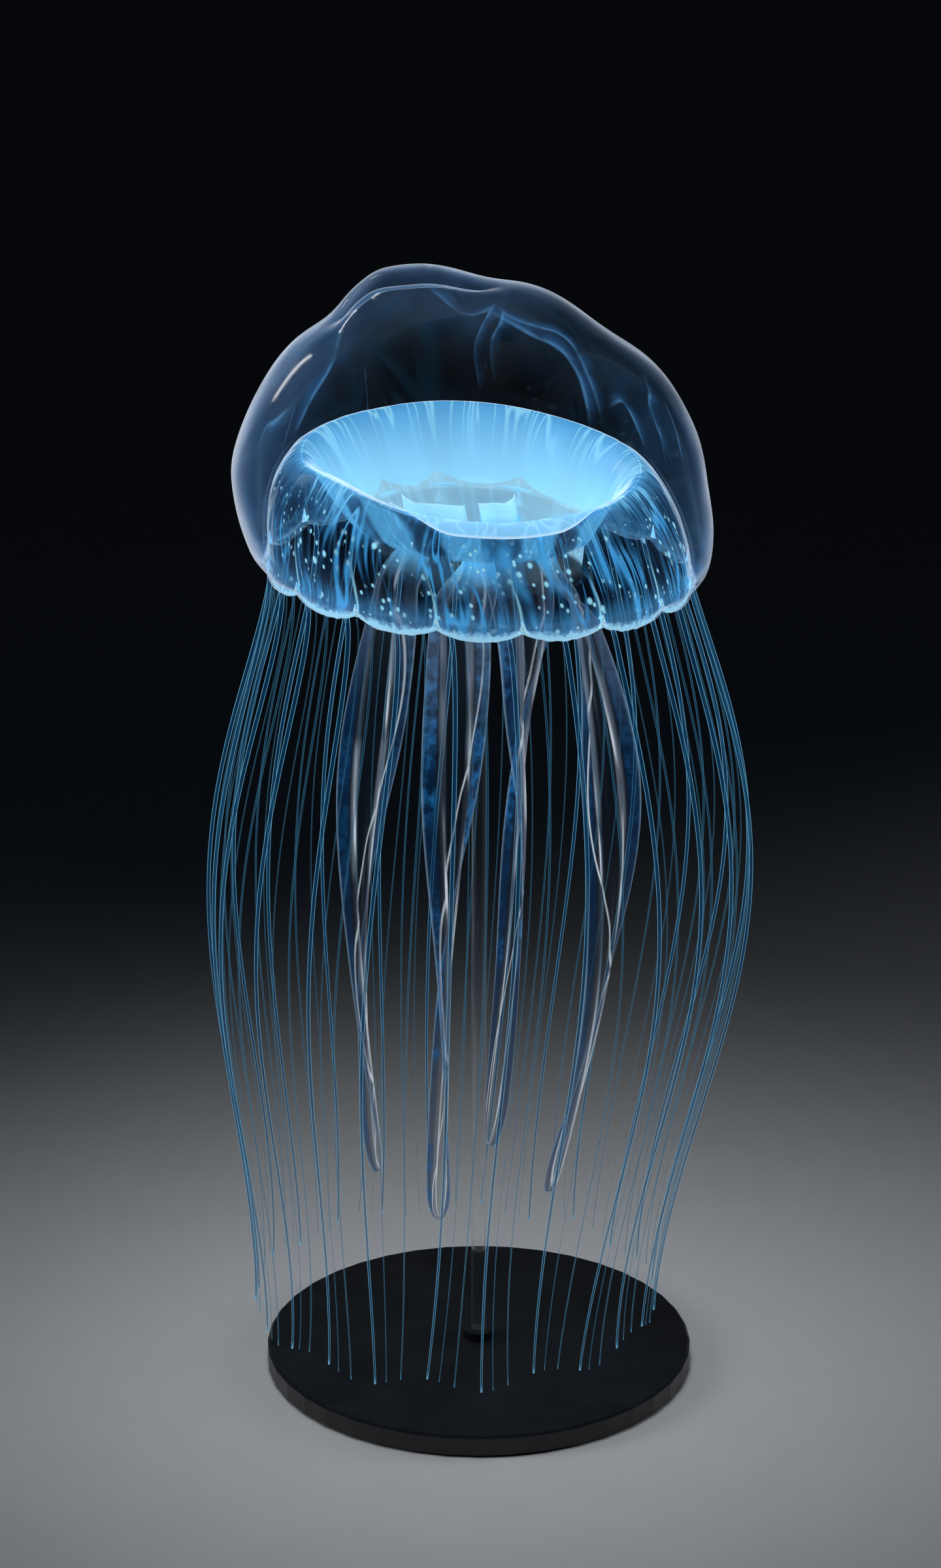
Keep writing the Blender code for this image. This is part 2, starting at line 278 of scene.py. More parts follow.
def hung(point):
    """Gives the lowest part of an upright bell its scallops and its finer crinkles."""
    azimuth = math.atan2(point.y, point.x)
    depth = smooth((FOOT_HEIGHT - point.z) / (FOOT_HEIGHT + LAPPET_DROP))
    crinkle = noise.noise(Vector((math.cos(azimuth), math.sin(azimuth), 0.0)) * 30)
    lift = NOTCH_RISE * scalloped(azimuth) ** 2.4 + CRINKLE * crinkle
    return point + Vector((0, 0, lift * depth))


def bell_radius(height):
    """Radius of the bell's outside at a height over the margin."""
    above = height - WIDEST_HEIGHT
    reach = DOME_RISE if above > 0 else SKIRT_DEPTH
    return BELL_RADIUS * math.sqrt(max(0.0, 1 - (above / reach) ** 2))


def wall_point(share, out=0.0):
    """The lining's outer face, from its foot at 0 to the top of its ridge at 1."""
    angle = share * math.pi / 2
    radius = RIDGE_RADIUS + (FOOT_RADIUS - RIDGE_RADIUS) * math.cos(angle) ** 1.3
    height = FOOT_HEIGHT + (RIDGE_HEIGHT - FOOT_HEIGHT) * math.sin(angle)
    return radius + out * math.cos(angle), height + out * math.sin(angle)


def spun(profile, segments, ring=True):
    """A bmesh of a (radius, height, along) outline turned round +Z; ring joins its ends.
    Each vertex keeps the flow of its surface: the two parts of its azimuth, and along."""
    mesh = bmesh.new()
    flow = mesh.verts.layers.float_vector.new("flow")
    verts = []
    for radius, height, along in profile:
        verts.append(mesh.verts.new((radius, 0, height)))
        verts[-1][flow] = (0, 0, along)
    edges = [mesh.edges.new(pair) for pair in zip(verts, verts[1:])]
    if ring:
        edges.append(mesh.edges.new((verts[-1], verts[0])))
    bmesh.ops.spin(
        mesh, geom=verts + edges, cent=(0, 0, 0), axis=(0, 0, 1),
        angle=2 * math.pi, steps=segments, use_merge=True,
    )
    bmesh.ops.remove_doubles(mesh, verts=mesh.verts, dist=1e-6)
    for vert in mesh.verts:
        azimuth = math.atan2(vert.co.y, vert.co.x)
        vert[flow] = (math.cos(azimuth), math.sin(azimuth), vert[flow].z)
    return mesh


def placed(name, data):
    """An object in the scene that shows this mesh or lamp."""
    made = bpy.data.objects.new(name, data)
    scene.collection.objects.link(made)
    return made


def finished(name, mesh, materials, replaced=()):
    """Makes a bmesh a named piece that rides on the model and stands for its CAD nodes."""
    bmesh.ops.recalc_face_normals(mesh, faces=mesh.faces)
    data = bpy.data.meshes.new(name)
    mesh.to_mesh(data)
    mesh.free()
    data.shade_smooth()
    for made in materials:
        data.materials.append(made)
    made = placed(name, data)
    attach(made, "root")
    if replaced:
        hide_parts(*replaced)


def glowing(surface, shade, strength, cover=None):
    """Gives a surface its colour, a painted glow of the same colour that stands in for light, and how far
    it covers.
    """
    tree = shade.id_data
    tree.links.new(shade, surface["Base Color"])
    tree.links.new(shade, surface["Emission Color"])
    surface["Emission Strength"].default_value = strength
    if cover is not None:
        tree.links.new(cover, surface["Alpha"])


def flow_of(tree):
    """The flow of a surface, whole and in its three parts."""
    flow = add(tree, "Attribute", attribute_name="flow").outputs["Vector"]
    return flow, add(tree, "SeparateXYZ", {0: flow}).outputs


def flow_group(name, values):
    """A node group that makes a mask from the flow of a surface and named plain values.
    The flow comes out scaled, so that the pattern repeats Around times in one turn."""
    made = bpy.data.node_groups.new(name, "ShaderNodeTree")
    made.interface.new_socket("Flow", in_out="INPUT", socket_type="NodeSocketVector")
    for value in ("Around", "Run", *values):
        made.interface.new_socket(value, in_out="INPUT", socket_type="NodeSocketFloat")
    made.interface.new_socket("Mask", in_out="OUTPUT", socket_type="NodeSocketFloat")
    given = made.nodes.new("NodeGroupInput").outputs
    round_scale = maths("DIVIDE", given["Around"], 2 * math.pi)
    scale = add(made, "CombineXYZ", {0: round_scale, 1: round_scale, 2: given["Run"]}).outputs[0]
    scaled = vectors("MULTIPLY", given["Flow"], scale)
    return made, given, scaled, made.nodes.new("NodeGroupOutput").inputs["Mask"]


def pattern(group, flow, **values):
    """The mask that one of these groups makes."""
    return add(flow.id_data, "Group", {"Flow": flow, **values}, node_tree=group).outputs[0]


# Streaks are the wandering, joining lines of canals and folds inside the jelly.
streaks, given, scaled, mask = flow_group("canal_streaks", ("Bend", "Width", "Shift"))
shifted = add(streaks, "CombineXYZ", {0: given["Shift"], 1: 0.0, 2: given["Shift"]}).outputs[0]
moved = vectors("ADD", scaled, shifted)
slow = add(streaks, "TexNoise", {"Vector": moved, "Scale": 0.35, "Detail": 0.0}).outputs["Color"]
slow = vectors("SUBTRACT", slow, (0.5, 0.5, 0.5))
bent = add(streaks, "VectorMath", {0: slow, "Scale": given["Bend"]}, operation="SCALE").outputs[0]
moved = vectors("ADD", moved, bent)
off = apart(clouds(moved, 1.0, 1.0), 0.5)
streaks.links.new(fall(off, 0.0, given["Width"]), mask)

# The skin is clear head on and milky at a slant, clearest over the right of the hollow and
# milkiest low on the left.
jelly, tree, haze, slant = film("clear_jelly_skin", (0.02, 0.10))
place = in_place(tree)
spots = add(tree, "SeparateXYZ", {0: place}).outputs
flow, _ = flow_of(tree)
veils = pattern(streaks, flow, Around=11.0, Run=1.3, Bend=3.0, Width=0.14, Shift=8.4)
lines = pattern(streaks, flow, Around=34.0, Run=1.0, Bend=2.0, Width=0.10, Shift=2.0)
uneven = rise(clouds(place, 26.0, 3.0), 0.30, 0.70, 0.50, 1.20)
milk = times(rise(slant, 0.18, 0.58, 0.0, 0.042), uneven)
veils = times(veils, rise(slant, 0.18, 0.50, 0.0, 0.035))
rim = times(rise(slant, 0.56, 0.98, 0.0, 0.50), uneven, plus(0.80, times(lines, 0.25)))
clearer = times(
    rise(spots["X"], -0.01, 0.05), rise(spots["Z"], 0.49, 0.55),
    rise(slant, 0.76, 0.96, 0.74, 0.0),
)
milkier = times(rise(spots["X"], -0.04, -0.11), rise(spots["Z"], 0.60, 0.47, 0.30, 0.75))
cover = times(plus(milk, veils, rim), maths("SUBTRACT", 1.0, clearer), plus(1.0, milkier))
# Painted rim light: the skin's colour turns from deep blue to near white, and glows, where it is seen at
# a slant.
shade = tinted(rise(slant, 0.62, 0.98), (0.11, 0.28, 0.58, 1), (0.72, 0.80, 0.92, 1))
glowing(haze, shade, 0.45, cover)

under, tree, haze, slant = film("clear_jelly_underside", (0.0, 0.01))
flow, parts = flow_of(tree)
wall_only = rise(parts["Z"], 2.4, 2.8, 0.16, 0.0)
tree.links.new(times(rise(slant, 0.70, 1.0), wall_only), haze["Alpha"])
shade = tinted(clouds(flow, 9.0, 3.0), (0.20, 0.42, 0.75, 1), (0.45, 0.65, 0.90, 1))
tree.links.new(shade, haze["Base Color"])

# Along runs from 0 at the crown to 1 at the widest level, past the edge at UNDERSIDE, then
# from 2 up the wall of the hollow to 3 and over its roof to 4.
UNDERSIDE = 1.5
DOME_STEPS, SKIRT_STEPS, WALL_STEPS, ROOF_STEPS = 56, 14, 30, 12
TUCK = 0.0035               # of the skirt's foot inwards
TUCK_HEIGHT = 0.012
outline = []
for step in range(DOME_STEPS + 1):
    angle = step / DOME_STEPS * math.pi / 2
    height = WIDEST_HEIGHT + DOME_RISE * math.cos(angle)
    outline.append((BELL_RADIUS * math.sin(angle), height, step / DOME_STEPS))
for step in range(1, SKIRT_STEPS + 1):
    height = WIDEST_HEIGHT * (1 - step / SKIRT_STEPS)
    tuck = TUCK * smooth((TUCK_HEIGHT - height) / TUCK_HEIGHT)
    outline.append((bell_radius(height) - tuck, height, 1 + 0.3 * step / SKIRT_STEPS))
outline += [
    (FOOT_RADIUS + 0.0028, -0.0008, 1.4), (FOOT_RADIUS + 0.0022, 0.0008, 1.6),
    (FOOT_RADIUS + 0.0018, 0.0045, 1.8),
]
for step in range(WALL_STEPS + 1):
    outline.append((*wall_point(step / WALL_STEPS, LIP_ROOM), 2 + step / WALL_STEPS))
for step in range(1, ROOF_STEPS + 1):
    angle = step / ROOF_STEPS * math.pi / 2
    height = RIDGE_HEIGHT + LIP_ROOM + ROOF_RISE * math.sin(angle)
    outline.append((RIDGE_RADIUS * math.cos(angle), height, 3 + step / ROOF_STEPS))
bell = spun(outline, BELL_SEGMENTS, ring=False)
flow = bell.verts.layers.float_vector["flow"]
for vert in bell.verts:
    if vert[flow].z < UNDERSIDE:
        lump = noise.noise(vert.co * 26 + Vector((4.0, 1.0, 7.0)))
        height = vert.co.z
        vert.co.z -= grooved(vert.co)
        vert.co += vert.co.normalized() * FINE_LUMPS * lump * smooth((height - 0.02) / 0.05)
        vert.co = lobed(vert.co)
    else:
        vert.co.z += crest_lift(vert.co)
    vert.co = posed(hung(vert.co))
for face in bell.faces:
    if sum(vert[flow].z for vert in face.verts) / len(face.verts) > UNDERSIDE:
        face.material_index = 1
finished("bell_jelly", bell, (jelly, under), ("bell",))


# Folds: smoky veils inside the thick jelly of the bell, each a thin sheet with one bright
# edge. They run down from the crown under the skin, mostly on the far right side.
FOLD_DEPTH = 0.93           # of the folds, as a share of the bell's size
FOLD_PIECES = 10            # between two points of a route
FOLD_PARTS = 8              # across a fold
FOLD_THICK = 0.0002
FOLDS = (                   # width, then a route in degrees round and down from the crown
    (0.0090, ((116, 16), (101, 38), (92, 49), (86, 47), (78, 37))),
    (0.0100, ((80, 36), (76, 48), (68, 51), (59, 52), (54, 57), (52, 66), (50, 75), (48, 86))),
    (0.0160, ((84, 43), (70, 54), (62, 57), (53, 63))),
    (0.0060, ((77, 40), (84, 52), (88, 65), (86, 80))),
    (0.0070, ((75, 42), (79, 53), (83, 63), (82, 78))),
    (0.0100, ((62, 55), (56, 66), (54, 75), (53, 85))),
    (0.0090, ((50, 76), (42, 71), (37, 76), (32, 86))),
    (0.0120, ((13, 52), (24, 65), (27, 71), (20, 84))),
    (0.0080, ((8, 58), (13, 72), (10, 88))),
    (0.0130, ((150, 88), (141, 76), (137, 66), (143, 50), (152, 32))),
    (0.0150, ((172, 86), (188, 71), (197, 64), (204, 46))),
    (0.0012, ((122, 68), (118, 86))),
    (0.0012, ((198, 54), (207, 70))),
    (0.0012, ((26, 72), (25, 87))),
)


def grown(outline, stations):
    """Grows a flat outline of (x, y, across) from one (station matrix, share) to the next."""
    mesh = bmesh.new()
    flow = mesh.verts.layers.float_vector.new("flow")
    verts = [mesh.verts.new((x, y, 0)) for x, y, across in outline]
    before, start = stations[0]
    for vert, (x, y, across) in zip(verts, outline):
        vert[flow] = (across, y, start)
        vert.co = before @ vert.co
    first = face = mesh.faces.new(verts)
    for after, share in stations[1:]:
        passed = face
        new = bmesh.ops.extrude_face_region(mesh, geom=[face], use_keep_orig=True)["geom"]
        face = next(part for part in new if isinstance(part, bmesh.types.BMFace))
        verts = [part for part in new if isinstance(part, bmesh.types.BMVert)]
        move = after @ before.inverted()
        for vert in verts:
            vert.co = move @ vert.co
            vert[flow].z = share
        if passed is not first:
            mesh.faces.remove(passed)
        before = after
    return mesh


def gathered(parts):
    """One bmesh of several."""
    whole = bmesh.new()
    for part in parts:
        data = bpy.data.meshes.new("part")
        part.to_mesh(data)
        part.free()
        whole.from_mesh(data)
        bpy.data.meshes.remove(data)
    return whole


def in_jelly(azimuth, polar, depth):
    """Point in the jelly, in degrees round and down from the crown, at a share of its size."""
    azimuth, polar = math.radians(azimuth), math.radians(polar)
    radius = BELL_RADIUS * depth * math.sin(polar)
    height = WIDEST_HEIGHT + DOME_RISE * depth * math.cos(polar)
    return posed(Vector(around(radius, azimuth, height)))


def fold(width, route):
    """A veil along its route, flat to the bell's skin."""
    points = [in_jelly(azimuth, polar, FOLD_DEPTH) for azimuth, polar in route]
    ends = [2 * points[0] - points[1], *points, 2 * points[-1] - points[-2]]
    path = []
    for before, start, end, after in zip(ends, ends[1:], ends[2:], ends[3:]):
        leaving, arriving = (end - before) / 6, (after - start) / 6
        path += interpolate_bezier(start, start + leaving, end - arriving, end, FOLD_PIECES + 1)[:-1]
    path.append(points[-1])
    middle = posed(Vector((0, 0, WIDEST_HEIGHT)))
    stations = []
    for step, point in enumerate(path):
        along = (path[min(step + 1, len(path) - 1)] - path[max(step - 1, 0)]).normalized()
        outward = (point - middle).normalized()
        side = outward.cross(along).normalized()
        facing = Matrix((side, along.cross(side), along)).transposed().to_4x4()
        size = Matrix.Diagonal((width / 2, 1, 1, 1))
        stations.append((Matrix.Translation(point) @ facing @ size, step / (len(path) - 1)))
    across = [2 * step / FOLD_PARTS - 1 for step in range(FOLD_PARTS + 1)]
    sheet = [(at, FOLD_THICK / 2, at) for at in across]
    sheet += [(at, -FOLD_THICK / 2, at) for at in reversed(across)]
    return grown(sheet, stations)


smoke, tree, haze, _ = film("smoky_fold", (0.0, 0.0))
_, parts = flow_of(tree)
outer = fall(parts["X"], 0.66, 1.0)
bright = times(rise(parts["X"], 0.20, 0.66), outer)
veil = times(rise(parts["X"], -1.0, 0.60), outer)
cloud = clouds(in_place(tree), 60.0, 3.0)
cover = times(
    plus(times(bright, 0.07), times(veil, 0.10)),
    rise(parts["Z"], 0.0, 0.30), fall(parts["Z"], 0.62, 1.0), rise(cloud, 0.36, 0.62, 0.20, 1.0),
)
shade = tinted(bright, (0.06, 0.25, 0.58, 1), (0.18, 0.48, 0.82, 1))
glowing(haze, shade, 0.6, cover)
finished("jelly_folds", gathered([fold(*values) for values in FOLDS]), (smoke,))


# Lining: the blue inner wall of the bell, one thin sheet that climbs from the margin to a
# rounded ridge and then sinks into the glowing basin of the stomach. Pale canals run up
# the wall and down into the basin, and bright grains sit in the wall.
SHEET = 0.0022              # its thickness
BASIN_RADIUS = 0.0590       # where the basin ends at the mouth tube
BASIN_HEIGHT = 0.0270
PLEAT = 0.0006              # fine pleats up the wall
WALL_ROWS, BASIN_ROWS, HEM_ROWS = 48, 36, 8
LINING_SEGMENTS = 240


def layered(shade, *layers):
    """A colour with others laid over it in turn, each a mask and a colour."""
    for share, colour in layers:
        shade = tinted(share, shade, colour)
    return shade


def near_side(tree, fade):
    """1 on the side of a closed shape that faces the eye, less by fade on its far side."""
    far_side = add(tree, "NewGeometry").outputs["Backfacing"]
    return maths("SUBTRACT", 1.0, times(far_side, fade))


def off_spoke(parts, count, shift):
    """How far the flow is from the nearest of so many spokes, in spacings of them."""
    turns = maths("ARCTAN2", parts["Y"], parts["X"])
    turns = plus(times(turns, count / (2 * math.pi)), shift)
    return apart(maths("FRACT", turns), 0.5)


def ripple(x, y):
    """A slow rise and fall of the ridge on its way round."""
    return 0.0010 * noise.noise(Vector((x, y, 0.0)) * 22)


grains, given, scaled, mask = flow_group("bright_grains", ("Size", "Share"))
cells = add(grains, "TexVoronoi", {"Vector": scaled, "Scale": 1.0}).outputs
spot = fall(cells["Distance"], times(given["Size"], 0.45), given["Size"])
lot = add(grains, "SeparateColor", {0: cells["Color"]}).outputs[0]
kept = maths("LESS_THAN", lot, given["Share"])
grains.links.new(times(spot, kept), mask)

blue, tree, haze, slant = film("blue_lining", (0.004, 0.02), roughness=0.25)
flow, parts = flow_of(tree)
along = parts["Z"]
stretched = vectors("MULTIPLY", flow, (4.2, 4.2, 1.6))
patch = clouds(stretched, 1.0, 2.0)
broad = pattern(streaks, flow, Around=62.0, Run=1.0, Bend=3.0, Width=0.075, Shift=0.0)
thin = pattern(streaks, flow, Around=120.0, Run=0.8, Bend=3.5, Width=0.050, Shift=5.0)
ribs = pattern(streaks, flow, Around=66.0, Run=0.5, Bend=3.0, Width=0.055, Shift=2.0)
small_grains = pattern(grains, flow, Around=200.0, Run=16.0, Size=0.40, Share=0.34)
large_grains = pattern(grains, flow, Around=110.0, Run=9.0, Size=0.36, Share=0.22)
dotted = times(
    most(small_grains, large_grains),
    rise(patch, 0.50, 0.62, 1.0, 0.12), fall(along, 0.55, 0.75),
)
thin = times(thin, rise(parts["X"], 0.10, 0.60, 0.45, 1.0))
canals = times(most(broad, thin), rise(patch, 0.40, 0.60, 0.24, 1.15))
wander = times(maths("SUBTRACT", patch, 0.5), along)
nerve = times(fall(off_spoke(parts, LAPPETS, wander), 0.008, 0.026), fall(along, 0.05, 0.50))
glow = times(rise(along, 0.38, 0.92), rise(parts["Y"], -0.93, -0.70, 0.12, 1.0))
low_glow = rise(along, 0.0, 0.16, 0.42, 0.0)
wall_cover = plus(
    times(canals, 0.66), times(glow, 0.40),
    rise(patch, 0.48, 0.78, 0.01, 0.22), low_glow,
)
wall_cover = most(wall_cover, dotted, times(nerve, 0.75))
wall_cover = plus(wall_cover, rise(slant, 0.66, 1.0, 0.0, 0.7))
basin = rise(along, 0.78, 1.02)
cover = add(tree, "Mix", {"Factor": basin, "A": wall_cover, "B": 0.94}).outputs[0]
seen = near_side(tree, rise(along, 0.9, 1.1, 0.86, 0.97))
wall_shade = layered(
    (0.003, 0.038, 0.15, 1),
    (canals, (0.055, 0.37, 0.80, 1)),
    (glow, (0.060, 0.29, 0.62, 1)),
    (times(canals, glow), (0.18, 0.54, 0.86, 1)),
    (low_glow, (0.09, 0.46, 0.88, 1)),
    (most(dotted, nerve), (0.33, 0.78, 1.0, 1)),
)
basin_shade = layered(
    (0.062, 0.30, 0.60, 1),
    (rise(along, 0.95, 1.80), (0.26, 0.60, 0.82, 1)),
    (times(ribs, rise(along, 1.05, 1.88, 0.80, 0.0)), (0.27, 0.64, 0.86, 1)),
)
# Pale where the lining is seen at a slant, where it is also more covered: a painted rim highlight.
shade = layered(wall_shade, (basin, basin_shade), (rise(slant, 0.72, 1.0), (0.62, 0.80, 0.95, 1)))
glowing(haze, shade, 0.62, times(cover, seen))

# Its inner side is clear up the wall. Under the basin it is dark and opaque, with the
# bright pouches of the stomach running down it.
POUCHES = 12
POUCH_TURN = 0.40           # in spacings of the pouches
inner_blue, tree, haze, _ = film("blue_lining_inside", (0.0, 0.0), roughness=0.25)
flow, parts = flow_of(tree)
along = parts["Z"]
fine = pattern(streaks, flow, Around=60.0, Run=1.2, Bend=2.5, Width=0.08, Shift=4.0)
wander = times(clouds(flow, 2.2, 1.0), 0.35)
off_pouch = off_spoke(parts, POUCHES, plus(POUCH_TURN, wander))
pouch = times(
    fall(off_pouch, 0.20, 0.34), rise(along, 1.02, 1.14),
    rise(fine, 0.0, 1.0, 0.72, 1.0),
)
shade = layered((0.001, 0.010, 0.035, 1), (fine, (0.006, 0.055, 0.15, 1)), (pouch, (0.10, 0.46, 0.84, 1)))
under_basin = times(rise(along, 0.92, 1.08), rise(along, 1.72, 1.97, 1.0, 0.15), 0.95)
cover = plus(0.03, times(fine, 0.06))
glowing(haze, shade, 0.8, most(cover, under_basin))

INSIDE = 10.0               # added to along on the sheet's inner side, for a while
upper_side = []
lower_side = []
for step in range(HEM_ROWS):
    height = -LAPPET_DROP + (FOOT_HEIGHT + LAPPET_DROP) * step / HEM_ROWS
    along = -0.15 * (1 - step / HEM_ROWS)
    upper_side.append((FOOT_RADIUS + 0.0006, height, along))
    lower_side.append((FOOT_RADIUS + 0.0006 - SHEET, height, along + INSIDE))
for step in range(WALL_ROWS + 1):
    share = step / WALL_ROWS
    upper_side.append((*wall_point(share), share))
    lower_side.append((*wall_point(share, -SHEET), share + INSIDE))
for step in range(1, BASIN_ROWS + 1):
    share = step / BASIN_ROWS
    radius = RIDGE_RADIUS + (BASIN_RADIUS - RIDGE_RADIUS) * share
    height = RIDGE_HEIGHT - (RIDGE_HEIGHT - BASIN_HEIGHT) * smooth(share)
    upper_side.append((radius, height, 1 + share))
    lower_side.append((radius, height - SHEET, 1 + share + INSIDE))
lining = spun(upper_side + lower_side[::-1], LINING_SEGMENTS)
flow = lining.verts.layers.float_vector["flow"]
for face in lining.faces:
    if min(vert[flow].z for vert in face.verts) > INSIDE / 2:
        face.material_index = 1
for vert in lining.verts:
    if vert[flow].z > INSIDE / 2:
        vert[flow].z -= INSIDE
    x, y, z = vert.co
    vert.co.z += crest_lift(vert.co)
    pleat = PLEAT * noise.noise(Vector((x, y, z * 0.3)) * 120)
    vert.co.xy += vert.co.xy.normalized() * pleat
    vert.co.z += ripple(x, y) * smooth(z / RIDGE_HEIGHT)
    vert.co = posed(hung(vert.co))
finished("blue_lining", lining, (blue, inner_blue), ("subumbrella", "stomach"))

# Its ridge hangs over in front as a thin lip, with a pale edge.
LIP_STEPS = 12
LIP_DROP = 0.31             # of the lip's middle, as a share of the wall
LIP_LEFT, LIP_RIGHT = (240, 26), (297, 30)  # where it starts and ends to fade, over how far
LIP_LEAST = 0.004           # the drop under which it is cut off
LIP_THICK = 0.0004


def lip_drop(azimuth):
    """How far down the wall the lip hangs at an azimuth."""
    degrees = math.degrees(azimuth) % 360
    left, right = [smooth((degrees - at) / over) for at, over in (LIP_LEFT, LIP_RIGHT)]
    return LIP_DROP * left * (1 - right)


lip_film, tree, haze, _ = film("pale_lip", (0.01, 0.05), roughness=0.2)
flow, parts = flow_of(tree)
fine = pattern(streaks, flow, Around=70.0, Run=0.8, Bend=0.4, Width=0.06, Shift=9.0)
edge = rise(parts["Z"], 0.88, 0.97)
shade = layered((0.24, 0.56, 0.80, 1), (fine, (0.34, 0.68, 0.90, 1)), (edge, (0.60, 0.82, 0.96, 1)))
body = rise(parts["Z"], 0.0, 0.9, 0.70, 0.62)
glowing(haze, shade, 0.6, most(body, times(edge, 0.75)))

outline = []
for radius, steps in (
    (RIDGE_RADIUS + 0.001, range(LIP_STEPS + 1)), (RIDGE_RADIUS, range(LIP_STEPS, -1, -1)),
):
    outline += [(radius, RIDGE_HEIGHT - step * 1e-4, step / LIP_STEPS) for step in steps]
lip = spun(outline, LINING_SEGMENTS)
flow = lip.verts.layers.float_vector["flow"]
spare = []
for vert in lip.verts:
    outer_face = math.hypot(vert.co.x, vert.co.y) > RIDGE_RADIUS + 0.0005
    drop = lip_drop(math.atan2(vert[flow].y, vert[flow].x))
    if drop < LIP_LEAST:
        spare.append(vert)
    down = vert[flow].z
    out = 0.0003 + 0.0012 * down * down + (LIP_THICK if outer_face else 0.0)
    radius, height = wall_point(1.0 - drop * down, out)
    vert.co = (radius * vert[flow].x, radius * vert[flow].y, height)
    vert.co.z += crest_lift(vert.co)
    vert.co.z += ripple(vert.co.x, vert.co.y)
    vert.co = posed(vert.co)
bmesh.ops.delete(lip, geom=spare, context="VERTS")
bmesh.ops.holes_fill(lip, edges=[edge for edge in lip.edges if edge.is_boundary])
finished("ridge_lip", lip, (lip_film,))

# A painted highlight on the ridge's crest: a pale cord, thickest where the ridge turns over at both
# sides.
CREST_SIDES = 8
CREST_RADIUS = 0.001
CREST_THIN = 0.16           # its least thickness, as a share of that
HIGHLIGHT_SWELLS = ((219, 20, 1.35), (325, 10, 1.00), (275, 35, 0.30))  # azimuth, spread, share
crest_highlight_film, tree, haze, slant = film("painted_crest_highlight", (0.0, 0.02), roughness=0.2)
cloud = clouds(in_place(tree), 60.0, 3.0)
shade = tinted(cloud, (0.52, 0.74, 0.90, 1), (0.78, 0.88, 0.96, 1))
soft = times(rise(slant, 0.10, 0.85, 0.85, 0.0), rise(cloud, 0.25, 0.60, 0.55, 1.0))
glowing(haze, shade, 0.6, soft)

turns = [2 * math.pi * side / CREST_SIDES for side in range(CREST_SIDES)]
crest = spun([
    (RIDGE_RADIUS + CREST_RADIUS * math.cos(turn), RIDGE_HEIGHT + CREST_RADIUS * math.sin(turn), 0.0)
    for turn in turns
], LINING_SEGMENTS)
for vert in crest.verts:
    azimuth = math.atan2(vert.co.y, vert.co.x)
    middle = Vector(around(RIDGE_RADIUS, azimuth, RIDGE_HEIGHT))
    swells = [size * hump(turned_by(azimuth, at), 0, spread) for at, spread, size in HIGHLIGHT_SWELLS]
    vert.co = middle + (vert.co - middle) * sum(swells, CREST_THIN)
    lift = crest_lift(middle) + ripple(middle.x, middle.y)
    vert.co = posed(vert.co + Vector((0, 0, lift)))
finished("ridge_crest_highlight", crest, (crest_highlight_film,))


# Mouth tube: a short translucent tube with four corners under the basin. Its rim is drawn
# up into peaks where it is tied to the basin's wall, and its floor closes it below.
THROAT_RADIUS = 0.0500
THROAT_WALL = 0.0035        # the thickness of its floor
THROAT_SEGMENTS = 180
CORNER_TURN = math.radians(-16)
CORNER_SWELL = 0.10         # of its corners, as a share of the radius
PEAKS = (168, 138, 107, 67, 8)      # azimuths, in degrees
PEAK_RISE = 0.0060          # of the peaks, and how far they reach out
PEAK_SPREAD = 9             # in degrees

grey, tree, haze, _ = film("pale_mouth_tissue", (0.02, 0.06), roughness=0.2)
flow, parts = flow_of(tree)
strands = pattern(streaks, flow, Around=30.0, Run=1.0, Bend=1.0, Width=0.10, Shift=1.0)
shade = tinted(strands, (0.26, 0.48, 0.60, 1), (0.28, 0.54, 0.69, 1))
solid = rise(parts["Z"], 0.45, 0.75, 0.0, 0.85)
glowing(haze, shade, 0.6, times(solid, near_side(tree, 0.97)))

rim = BASIN_RADIUS - GAP
outside = [
    (0.0, 0.0), (THROAT_RADIUS * 0.5, 0.0), (THROAT_RADIUS, 0.0), (THROAT_RADIUS + 0.0030, 0.0030),
    (THROAT_RADIUS + 0.0045, 0.0120), (rim - 0.0020, BASIN_HEIGHT - 0.006), (rim, BASIN_HEIGHT - 0.0010),
]
inside = [
    (rim - 0.0012, BASIN_HEIGHT - 0.0006), (rim - 0.0035, BASIN_HEIGHT - 0.006),
    (THROAT_RADIUS + 0.0020, 0.0120), (THROAT_RADIUS - 0.0005, THROAT_WALL + 0.0010),
    (THROAT_RADIUS * 0.5, THROAT_WALL), (0.0, THROAT_WALL),
]
outline = [(radius, height, 0.0) for radius, height in outside]
outline += [(radius, height, smooth((height - THROAT_WALL) / 0.003)) for radius, height in inside]
mouth = spun(outline, THROAT_SEGMENTS, ring=False)
for vert in mouth.verts:
    azimuth = math.atan2(vert.co.y, vert.co.x)
    depth = 1 - smooth((vert.co.z - 0.004) / (BASIN_HEIGHT - 0.006))
    vert.co.xy *= 1 + CORNER_SWELL * depth * (math.cos(4 * (azimuth - CORNER_TURN)) - 0.3)
    peaked = max(math.exp(-abs(turned_by(azimuth, peak)) / PEAK_SPREAD) for peak in PEAKS)
    near_rim = smooth((vert.co.z - 0.018) / 0.006)
    vert.co.z += PEAK_RISE * peaked * near_rim
    vert.co.xy += vert.co.xy.normalized() * PEAK_RISE * peaked * near_rim
    vert.co = posed(vert.co)
finished("mouth_tube", mouth, (grey,), ("manubrium",))

